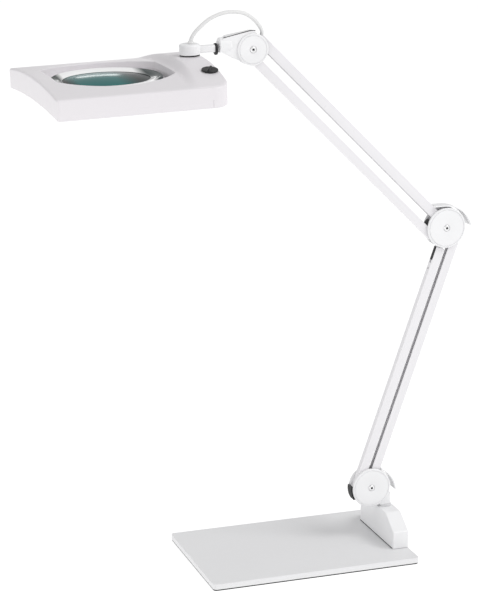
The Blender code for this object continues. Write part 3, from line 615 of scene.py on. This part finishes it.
def make_painted_shade_strips():
    """Painted shade: dark strips along the yoke's hood, in the bar's slot and by the bracket's foot, where those
    gaps lie in shade.
    """
    # dark strip on the hood's edge: painted shade of the gap under it
    hood = [(-44.5, 19.9), (-4.0, 27.4), (5.0, 27.3), (5.0, 28.2), (-4.0, 28.3), (-44.5, 20.8)]
    strip("hood_shade_strip", frame_at(TILT_PIVOT, HEAD_X), hood, -7.7, -6.4, "yoke")

    # dark strip in the bar's slot: painted shade
    along = LOWER_END - LOWER_PIVOT
    low, high = along.length / MM - 55.0, along.length / MM - 33.0
    slot = [(low, 3.35), (high, 3.35), (high, 3.7), (low, 3.7)]
    strip("bar_slot_shade_strip", frame_at(LOWER_LINK_PIVOT, along), slot, -4.6, 3.2, "lower_left_arm")

    # dark strip at the bracket's foot: painted shade of the gap under it
    corner, far = (Vector(point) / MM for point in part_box("post_bracket"))
    left, right = corner.x - 0.35, corner.x + 0.5
    foot = [(left, corner.z), (right, corner.z), (right, corner.z + 0.8), (left, corner.z + 0.8)]
    strip("bracket_shade_strip", Matrix.Identity(4), foot, corner.y + 5.0, far.y - 1.0, "base")


def make_roll_ring():
    """The black friction ring between the swivel arm and the yoke, turned about the roll axis."""
    bm = bmesh.new()
    ring = [(4.7, 0.2)] + arc(8.1, 0.9, 0.6, 250, 360, 4) + arc(8.1, 2.9, 0.6, 0, 110, 4) + [(4.7, 3.6)]
    close_grid(bm, [[bm.verts.new((ROLL_RING_X + x, r * c, r * s)) for r, x in ring] for c, s in spokes(64)])
    black = in_head("friction_ring", bm, "rubber", "yoke")
    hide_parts("roll_ring")


# ---- cable ---------------------------------------------------------------------------------------

def smooth_route(guides, steps):
    """Points on a Catmull-Rom curve through the guides, as part.py lays the cable."""
    ends = [guides[0]] + guides + [guides[-1]]
    route = []
    for i in range(1, len(ends) - 2):
        p, q, r, s = (Vector(point) for point in ends[i - 1:i + 3])
        for k in range(steps):
            t = k / steps
            spot = (2 * q + (r - p) * t + (2 * p - 5 * q + 4 * r - s) * t ** 2
                    + (3 * q - p - 3 * r + s) * t ** 3) / 2
            route.append((spot.x, 0.0, spot.y))
    return route + [(guides[-1][0], 0.0, guides[-1][1])]


def make_cord():
    """The cable from the swivel cap to the upper arm, a round wire along its route."""
    route = [HEAD_FRAME @ (Vector(p) * MM) for p in smooth_route(CORD_GUIDES, 3)]
    curve = bpy.data.curves.new("cable_loop", "CURVE")
    curve.dimensions = "3D"
    curve.bevel_depth = CORD_R * MM
    curve.bevel_resolution = 6
    curve.use_fill_caps = True
    spline = curve.splines.new("POLY")
    spline.points.add(len(route) - 1)
    for point, place in zip(spline.points, route):
        point.co = (*place, 1.0)
    spline.use_smooth = True
    curve.materials.append(LOOKS["cord_jacket"])
    cord = bpy.data.objects.new("cable_loop", curve)
    bpy.context.collection.objects.link(cord)
    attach(cord, "swivel_mount")
    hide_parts("head_cord")


# ---- camera, light, floor --------------------------------------------------------------------------

def make_camera():
    """The viewpoint, which stands to the left of the lamp and looks a little down."""
    data = bpy.data.cameras.new("camera")
    data.lens = FOCAL_MM
    data.sensor_width = SENSOR_MM
    data.clip_end = 50.0
    camera = bpy.data.objects.new("camera", data)
    camera.location = CAMERA_AT
    camera.rotation_euler = (math.pi / 2 - CAMERA_DOWN, 0.0, -CAMERA_TURN)
    bpy.context.collection.objects.link(camera)
    bpy.context.scene.camera = camera


def area_light(name, place, target, size, power):
    """A rectangular lamp at one place that faces another."""
    data = bpy.data.lights.new(name, "AREA")
    data.shape = "RECTANGLE"
    data.size, data.size_y = size
    data.energy = power
    light = bpy.data.objects.new(name, data)
    light.location = place
    light.rotation_euler = (Vector(target) - Vector(place)).to_track_quat("-Z", "Y").to_euler()
    bpy.context.collection.objects.link(light)


def make_studio():
    """White surroundings, a large key above, a weak fill, and a small lamp mirrored in the lens."""
    world = bpy.data.worlds.new("studio")
    world.use_nodes = True
    backdrop = world.node_tree.nodes["Background"]
    backdrop.inputs["Color"].default_value = (1.0, 1.0, 1.0, 1.0)
    backdrop.inputs["Strength"].default_value = 0.62
    scene = bpy.context.scene
    scene.world = world
    scene.view_settings.view_transform = "Standard"
    area_light("key", (3.2, -2.4, 4.8), (0.0, 0.0, 0.5), (3.0, 3.0), 136.0)
    area_light("left_fill", (-3.4, -1.6, 0.9), (0.0, 0.0, 0.4), (1.6, 1.2), 20.0)
    area_light("glint", LENS_AT + Vector((0.72, 2.95, 0.37)), LENS_AT, (0.24, 0.16), 0.35)


def make_floor():
    """A pale sheet that reaches past the picture and glows enough to stay white."""
    bm = bmesh.new()
    bmesh.ops.create_grid(bm, x_segments=1, y_segments=1, size=12.0)
    mesh = bpy.data.meshes.new("floor")
    bm.to_mesh(mesh)
    bm.free()
    floor = bpy.data.objects.new("floor", mesh)
    bpy.context.collection.objects.link(floor)
    s = Shader("floor_paper", (0.35, 0.35, 0.35), 0.9)
    s.colour_from(s.mix(s.noise(3.0, 2.0), (0.345, 0.345, 0.345), (0.355, 0.355, 0.355)))
    s.set(Emission_Color=(1.0, 1.0, 1.0, 1.0), Emission_Strength=0.79)
    mesh.materials.append(s.mat)


make_camera()
make_studio()
make_floor()
make_cord()
dress_nodes()
make_head_shell()
make_lens()
make_knob()
make_roll_ring()
make_painted_shade_strips()
make_hub_faces("lower_hub", "lower_hub_turret", LOWER_PIVOT, COVER_R)
make_hub_faces("elbow_hub", "elbow", UPPER_PIVOT, COVER_R)
make_hub_faces("head_hub", "head_joint", TILT_PIVOT, HEAD_COVER_R)
